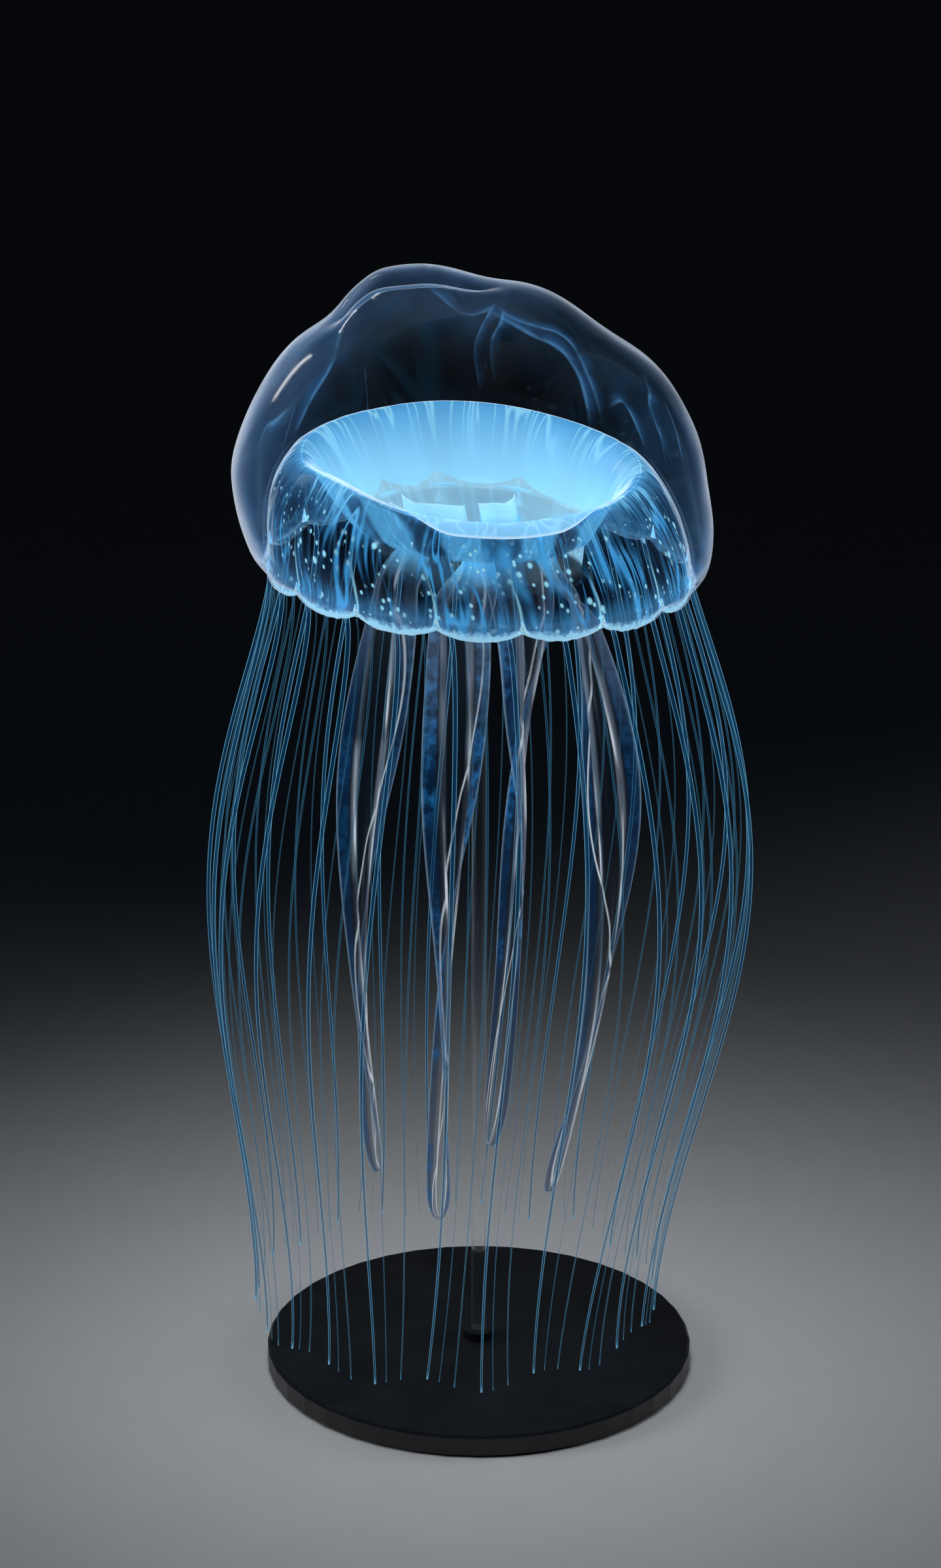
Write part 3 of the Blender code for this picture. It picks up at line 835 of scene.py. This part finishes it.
# Two pale flaps stand up in the mouth, each drawn out to a point at its two corners.
FLAPS = (                   # x, y, half width, height, and rise of its left and right points
    (-0.0196, 0.008, 0.0160, 0.0318, 0.0070, 0.0020),
    (0.0133, 0.006, 0.0096, 0.0345, 0.0015, 0.0080),
)
FLAP_THICK = 0.0008
FLAP_CURVE = 0.006          # of its two sides towards the front
FLAP_STEPS = 8
flap_film, tree, haze, _ = film("pale_flap", (0.02, 0.06), roughness=0.2)
_, parts = flow_of(tree)
height = parts["Z"]
cloud = clouds(in_place(tree), 40.0, 3.0)
pale = tinted(rise(cloud, 0.35, 0.65), (0.33, 0.67, 0.88, 1), (0.43, 0.77, 0.95, 1))
shade = tinted(rise(height, 0.45, 0.85), (0.10, 0.44, 0.72, 1), pale)
rim_line = rise(height, 0.95, 0.99, 0.0, 0.30)
cover = plus(rise(height, 0.10, 0.80, 0.05, 0.60), rim_line)
glowing(haze, shade, 0.62, cover)

steps = range(-FLAP_STEPS, FLAP_STEPS + 1)
sheet = [(at / FLAP_STEPS, 0.5, 0.0) for at in steps]
sheet += [(at / FLAP_STEPS, -0.5, 0.0) for at in reversed(steps)]
flaps = []
for x, y, reach, tall, left_point, right_point in FLAPS:
    size = Matrix.Diagonal((reach, FLAP_THICK, 1, 1))
    stations = []
    for step in range(FLAP_STEPS + 1):
        height = THROAT_WALL + GAP + (tall - THROAT_WALL) * step / FLAP_STEPS
        stations.append((Matrix.Translation((x, y, height)) @ size, step / FLAP_STEPS))
    flap = grown(sheet, stations)
    for vert in flap.verts:
        off = (vert.co.x - x) / reach
        point_rise = left_point if off < 0 else right_point
        vert.co.z += point_rise * abs(off) ** 4 * smooth((vert.co.z - THROAT_WALL) / tall)
        vert.co.y -= FLAP_CURVE * off * off
        vert.co = posed(vert.co)
    flaps.append(flap)
finished("mouth_flaps", gathered(flaps), (flap_film,))


# Margin: the scalloped edge of the bell in sixteen lappets, a soft thickened band with a
# bright ragged hem, and a small bright sense organ in each notch.
MARGIN_SEGMENTS = 480
HEM_RADIUS = FOOT_RADIUS + 0.0018
HEM_STEPS = 8

hem, tree, haze, _ = film("bright_margin", (0.02, 0.08), roughness=0.18)
flow, parts = flow_of(tree)
stretched = vectors("MULTIPLY", flow, (38.0, 38.0, 3.0))
ragged = maths("SUBTRACT", clouds(stretched, 1.0, 4.0, 0.6), 0.5)
level = plus(parts["Z"], times(ragged, 0.95))
bright = rise(level, 0.36, 0.82)
shade = tinted(bright, (0.03, 0.22, 0.52, 1), (0.36, 0.74, 0.97, 1))
cover = plus(times(bright, 0.85), 0.05)
glowing(haze, shade, 0.75, times(cover, near_side(tree, 0.90)))

outline = []
for step in range(HEM_STEPS + 1):
    low = step / HEM_STEPS
    height = FOOT_HEIGHT - (FOOT_HEIGHT + LAPPET_DROP) * low
    outline.append((HEM_RADIUS - 0.0002 * low, height, low))
outline += [
    (HEM_RADIUS - 0.0008, -LAPPET_DROP - 0.0006, 1.0), (HEM_RADIUS - 0.0018, -LAPPET_DROP - 0.0006, 0.5),
    (HEM_RADIUS - 0.0024, -LAPPET_DROP, 0.1), (HEM_RADIUS - 0.0020, 0.0, 0.0),
    (HEM_RADIUS - 0.0010, FOOT_HEIGHT, 0.0),
]
band = spun(outline, MARGIN_SEGMENTS)
for vert in band.verts:
    vert.co = posed(hung(vert.co))
lappets = [f"lappet_{number + 1:02d}" for number in range(LAPPETS)]
finished("margin_band", band, (hem,), lappets)

ORGAN_RADIUS = 0.0026       # at its broad end
ORGAN_TIP = 0.0003
ORGAN_LENGTH = 0.0066
ORGAN_FLATNESS = 0.35
ORGAN_LUMPS = 0.0007
glow, tree, surface = material("sense_organ")
mottle = clouds(in_place(tree), 900.0, 3.0)
shade = tinted(rise(mottle, 0.35, 0.65), (0.20, 0.60, 0.90, 1), (0.60, 0.90, 1.0, 1))
glowing(surface, shade, 0.6)
surface["Roughness"].default_value = 0.3
organs = bmesh.new()
out = Matrix.Translation((HEM_RADIUS, 0, ORGAN_LENGTH))
flat = Matrix.Diagonal((ORGAN_FLATNESS, 1.0, 1.0, 1.0))
for number in range(LAPPETS):
    made = bmesh.ops.create_cone(
        organs, cap_ends=True, segments=10,
        radius1=ORGAN_RADIUS, radius2=ORGAN_TIP, depth=ORGAN_LENGTH,
    )["verts"]
    turn = Matrix.Rotation(2 * math.pi * (number + 0.5) / LAPPETS, 4, "Z")
    bmesh.ops.transform(organs, matrix=turn @ out @ flat, verts=made)
bmesh.ops.bevel(
    organs, geom=organs.edges[:], offset=0.00025, segments=2, affect="EDGES",
    profile=0.5, material=-1,
)
for vert in organs.verts:
    spots = [vert.co * 420 + Vector((0.0, 0.0, 17.0 * axis)) for axis in range(3)]
    lump = Vector([noise.noise(spot) for spot in spots]) * ORGAN_LUMPS
    vert.co = posed(vert.co + lump)
finished("sense_organs", organs, (glow,))


# Tentacles: long hollow threads of steel blue that hang from the margin, bow outwards,
# draw in again and hang straight. Thinner ones grow between the main ones.
TENTACLES = 24              # in each ring of them
TENTACLE_BOW = 0.0338       # how far they bow out
TENTACLE_SWAY = 0.0040      # and sideways
TIP_HEIGHT = 0.0385         # of their tips over the table
THREAD_SIDES = 10
THREAD_STEPS = 72


def drift(share):
    """How far the hanging parts are carried sideways at a share of the tentacles' drop."""
    return -0.013 * share**1.3 + 0.0075 * math.sin(math.pi * share**0.7)


def tentacle_station(index, share, thick, thin, reach):
    """Place, direction and size of one tentacle's cross-section at a share of its length."""
    azimuth = 2 * math.pi * (index + 0.5) / TENTACLES

    def centre(at):
        root = posed(around(FOOT_RADIUS, azimuth, 0.001))
        tip = TIP_HEIGHT + 0.004 * math.sin(2.7 * index)
        bow = TENTACLE_BOW * reach * (1 + 0.08 * math.sin(1.9 * index + 0.4))
        out = bow * max(0.0, math.sin(math.pi * at**0.8)) ** 1.7
        sway = drift(at) - TENTACLE_SWAY * math.sin(math.pi * at**1.3)
        aside = 0.010 * math.sin(2.3 * index) * math.sin(math.pi * at) * at
        return Vector((
            root.x + out * math.cos(azimuth) - aside * math.sin(azimuth) + sway,
            root.y + out * math.sin(azimuth) + aside * math.cos(azimuth),
            root.z + (tip - root.z) * at,
        ))

    here = centre(share)
    ahead = centre(min(share + 0.01, 1.0)) - centre(max(share - 0.01, 0.0))
    turn = Vector((0, 0, -1)).rotation_difference(ahead)
    size = thick + (thin - thick) * share
    return Matrix.LocRotScale(here, turn, Vector((size / 2, size / 2, 1)))


def thread_film(name, core, skin, cover):
    """A hollow thread: its walls show as two pale lines with a darker core between."""
    made, tree, haze, slant = film(name, (0.01, 0.08), roughness=0.2)
    flow, parts = flow_of(tree)
    bands = rise(clouds(flow, 3.0, 3.0), 0.40, 0.75, 0.0, 0.35)
    shade = layered(core, (rise(slant, 0.30, 0.66), skin), (bands, core))
    shown = rise(slant, 0.25, 0.66, cover * 0.4, cover)
    root = rise(parts["Z"], 0.0, 0.22, 0.72, 1.0)
    glowing(haze, shade, 0.65, times(shown, root))
    return made


turns = [2 * math.pi * side / THREAD_SIDES for side in range(THREAD_SIDES)]
circle = [(math.cos(turn), math.sin(turn), 0.0) for turn in turns]
shares = [step / THREAD_STEPS for step in range(THREAD_STEPS + 1)]


def threads(first, thick, thin, reach):
    """A ring of tentacles, the first one so many spacings round, and thin at their tips;
    reach scales their bow."""
    return gathered([
        grown(circle, [
            (tentacle_station(index + first, share, thick, thin, reach), share) for share in shares
        ])
        for index in range(TENTACLES)
    ])


steel = thread_film("steel_blue_thread", (0.004, 0.045, 0.11, 1), (0.16, 0.47, 0.70, 1), 0.94)
names = [f"tentacle_{index + 1:02d}" for index in range(TENTACLES)]
main = threads(first=0, thick=0.0025, thin=0.0010, reach=1.0)
finished("main_tentacles", main, (steel,), names)

pale = thread_film("fine_thread", (0.012, 0.07, 0.14, 1), (0.10, 0.32, 0.48, 1), 0.62)
halfway = threads(first=0.5, thick=0.0011, thin=0.0006, reach=0.90)
finest = threads(first=0.22, thick=0.0006, thin=0.0004, reach=0.92)
finished("fine_tentacles", gathered([halfway, finest]), (pale,))


# Oral arms: four ribbons of clear jelly that hang from the corners of the mouth and twist
# as they go. Each is folded lengthwise, pale along the folds, grey and mottled blue on its
# wings, and rounded at the tip. Their broad blue heads stand up a little into the mouth.
ARMS = 4
ARM_ROOT = 0.0480           # how far out they hang
ARM_BOW = 0.0200
ARM_TIP = -0.3440           # height of their tips over the margin
ARM_WIDTH = 0.0330
ARM_THICK = 0.0042          # depth of the folded ribbon
ARM_TURN = math.radians(200)
ARM_FACING = (0.42, -0.07, 0.30, 0.15)      # share of its length where each is seen flat
ARM_STARTS = (-0.080, -0.050, -0.080, -0.085)       # where each one's head starts
ARM_HEADS = (0.031, 0.012, -0.0336, -0.0036)        # along X, of those heads
HEAD_BEND = (0.045, -0.050) # shares of an arm's length between which it leans over to there
HEAD_EDGE = 0.004           # how far a head's middle sinks below its edges
BACK_ARM = 1                # which hangs further to the right for a while, and is broader there
BACK_BEND = 0.13            # share of its length where, and over which
BACK_SHIFT, BACK_SWELL = 0.008, 0.22
ARM_STEPS = 110
ARM_POINTS = 30
FOLD_AT = 0.42              # of the ribbon's two outer folds, as a share of its half width
HALF_THICK = 0.10           # half the ribbon's thickness, as a share of its depth


def arm_station(arm, share):
    """Place, twist and size of one oral arm's cross-section at a share of its length."""
    azimuth = CORNER_TURN + 2 * math.pi * arm / ARMS
    root = posed(around(ARM_ROOT, azimuth, -GAP))
    tip = MARGIN_HEIGHT + ARM_TIP
    drop = max(share, 0.0) * (root.z - tip) / (MARGIN_HEIGHT - TIP_HEIGHT)
    out = ARM_BOW * math.sin(math.pi * max(share, 0.0))
    bend = smooth((HEAD_BEND[0] - share) / (HEAD_BEND[0] - HEAD_BEND[1]))
    lean = (ARM_HEADS[arm] - root.x) * bend
    aside = hump(share, BACK_BEND, BACK_BEND) if arm == BACK_ARM else 0.0
    centre = Vector((
        root.x + lean + BACK_SHIFT * aside + out * math.cos(azimuth) + drift(drop),
        root.y + out * math.sin(azimuth),
        root.z + (tip - root.z) * share,
    ))
    taper = 1 - 0.58 * smooth((share - 0.25) / 0.5)
    flare = (1 - 0.45 * smooth((0.01 - share) / 0.08)) * (1 + BACK_SWELL * aside)
    tip_round = math.sqrt(max(0.0, 1 - max(0.0, (share - 0.93) / 0.07) ** 2))
    width = ARM_WIDTH * taper * flare * (0.04 + 0.96 * tip_round)
    thick = ARM_THICK * (1 - 0.45 * share)
    twist = Matrix.Rotation(ARM_TURN * (share - ARM_FACING[arm]), 4, "Z")
    slope = Matrix.Rotation(TILT * max(0.0, 1 - share / 0.1), 4, "Y")
    size = Matrix.Diagonal((width / 2, thick, 1, 1))
    return Matrix.Translation(centre) @ slope @ twist @ size


def fold_line(across):
    """How far the folded ribbon lies from flat, at -1 to 1 across it."""
    deep = 1.20 * across * across + 0.10
    return deep - 0.75 * hump(abs(across), FOLD_AT, 0.10) - 0.25 * hump(across, 0, 0.16)


ribbon, tree, haze, slant = film("folded_arm_jelly", (0.01, 0.08), roughness=0.16)
flow, parts = flow_of(tree)
across = maths("ABSOLUTE", parts["X"])
share = parts["Z"]
place = in_place(tree)
spots = add(tree, "SeparateXYZ", {0: place}).outputs
off_fold = apart(across, FOLD_AT)
band = fall(off_fold, 0.05, 0.17)
wing = rise(across, 0.52, 0.66)
edge = rise(across, 0.93, 1.0)

# The mottle is strongest on the two arms in the middle.
zone = clouds(place, 15.0, 1.0)
grey_run = rise(zone, 0.46, 0.60, 0.35, 1.0)
mottle = times(
    rise(clouds(place, 150.0, 5.0, 0.65), 0.38, 0.66),
    rise(zone, 0.42, 0.56, 0.10, 1.0),
    rise(maths("ABSOLUTE", spots["X"]), 0.022, 0.040, 1.0, 0.35),
)

# White lines run along the outer folds, broken above, and one crosses from side to side.
stretched = vectors("MULTIPLY", flow, (1.2, 0.0, 5.0))
runs = rise(clouds(stretched, 1.0, 1.0), 0.48, 0.64)
runs = most(runs, rise(share, 0.50, 0.75, 0.0, 0.8))
line = times(fall(off_fold, 0.01, 0.065), runs)
phase = plus(times(share, 7.0), times(spots["X"], 22.0), 1.0)
crossing = maths("SINE", phase)
off_crossing = apart(parts["X"], times(crossing, 0.80))
line = most(line, rise(off_crossing, 0.006, 0.050, 0.85, 0.0))

# The head is an even blue, and the arm is faint just under it.
level = plus(spots["Z"], times(spots["Y"], 0.15))
head = rise(level, 0.440, 0.464)
body = layered(
    (0.015, 0.030, 0.060, 1),
    (wing, (0.004, 0.028, 0.085, 1)),
    (times(mottle, wing), (0.016, 0.15, 0.38, 1)),
    (times(band, grey_run), (0.15, 0.18, 0.23, 1)),
    (times(edge, 0.7), (0.26, 0.42, 0.58, 1)),
    (line, (0.78, 0.86, 0.93, 1)),
    (rise(share, 0.02, 0.26, 0.55, 0.0), (0.14, 0.20, 0.29, 1)),
    (head, (0.12, 0.46, 0.72, 1)),
)
wing_cover = plus(0.30, times(mottle, 0.45))
cover = plus(0.06, times(wing, wing_cover))
cover = most(cover, times(band, grey_run, 0.66))
cover = times(cover, rise(level, 0.412, 0.444, 1.0, 0.22))
cover = most(cover, times(edge, 0.45), times(line, 0.85))
cover = plus(cover, rise(slant, 0.60, 1.0, 0.0, 0.35))
glowing(haze, body, 0.5, most(cover, times(head, 0.75)))

steps = [2 * step / ARM_POINTS - 1 for step in range(ARM_POINTS + 1)]
strip = [(at, fold_line(at) + HALF_THICK, at) for at in steps]
strip += [(at, fold_line(at) - HALF_THICK, at) for at in reversed(steps)]
for arm, start in enumerate(ARM_STARTS):
    shares = [1 - (1 - start) * (1 - step / ARM_STEPS) ** 1.5 for step in range(ARM_STEPS + 1)]
    made = grown(strip, [(arm_station(arm, share), share) for share in shares])
    flow = made.verts.layers.float_vector["flow"]
    for vert in made.verts:
        up = smooth((start * 0.3 - vert[flow].z) / (-0.7 * start))
        vert.co.z += HEAD_EDGE * up * (vert[flow].x ** 2 - 1.0)
    lengths = [f"oral_arm_{arm + 1}_{length}" for length in ("upper", "middle", "lower")]
    finished(f"oral_arm_{arm + 1}", made, (ribbon,), lengths)


# Studio: a plain pale floor, soft lamps close on both sides and above, a dim room beyond,
# and the camera a little above the bell, looking down at it.
floor_mesh = bmesh.new()
bmesh.ops.create_grid(floor_mesh, x_segments=1, y_segments=1, size=6.0)
floor_data = bpy.data.meshes.new("floor")
floor_mesh.to_mesh(floor_data)
floor_mesh.free()
floor = placed("floor", floor_data)
pale_floor, tree, ground = material("pale_floor")
dust = clouds(in_place(tree), 30.0, 4.0)
tree.links.new(tinted(dust, (0.66, 0.68, 0.70, 1), (0.72, 0.73, 0.75, 1)), ground["Base Color"])
ground["Roughness"].default_value = 0.75
floor_data.materials.append(pale_floor)


def soft_lamp(name, size, place, aim, power, spread, shines=False):
    """A soft box of two sides in metres, aimed at a point; shines shows it in wet jelly."""
    lamp = bpy.data.lights.new(name, "AREA")
    lamp.shape = "RECTANGLE"
    lamp.size, lamp.size_y = size
    lamp.energy = power
    lamp.spread = math.radians(spread)
    made = placed(name, lamp)
    made.location = place
    made.rotation_euler = (Vector(aim) - Vector(place)).to_track_quat("-Z", "Y").to_euler()
    made.visible_camera = False
    made.visible_glossy = shines


BELL_MIDDLE = (0.0, 0.0, 0.52)
soft_lamp("strip_left", (0.03, 0.34), (-0.80, 0.90, 0.90), BELL_MIDDLE, 0.055, 60, shines=True)
soft_lamp("glint_above", (0.26, 0.10), (-0.42, 0.95, 1.32), BELL_MIDDLE, 0.05, 60, shines=True)
soft_lamp("lamp_left", (0.25, 0.9), (-1.1, -0.1, 0.85), BELL_MIDDLE, 0.8, 60)
soft_lamp("lamp_right", (0.3, 0.9), (1.1, 0.2, 0.7), BELL_MIDDLE, 0.7, 60)
soft_lamp("lamp_above", (0.4, 0.4), (-0.05, 0.0, 1.5), (0.0, -0.05, 0.0), 0.28, 34)

world = bpy.data.worlds.new("dim_room")
world.use_nodes = True
world.node_tree.nodes["Background"].inputs["Color"].default_value = (0.0025, 0.003, 0.004, 1)
scene.world = world
scene.view_settings.view_transform = "Standard"
scene.cycles.transparent_max_bounces = 48

CAMERA_DISTANCE = 2.5
LOOK_AT = Vector((-0.0045, 0.0, MARGIN_HEIGHT - 0.1165))
lens = bpy.data.cameras.new("camera")
lens.lens = 110
lens.sensor_width = 36
camera = placed("camera", lens)
back = Vector((0, -math.cos(VIEW_SLOPE), math.sin(VIEW_SLOPE)))
camera.location = LOOK_AT + CAMERA_DISTANCE * back
camera.rotation_euler = (math.pi / 2 - VIEW_SLOPE, 0, 0)
scene.camera = camera
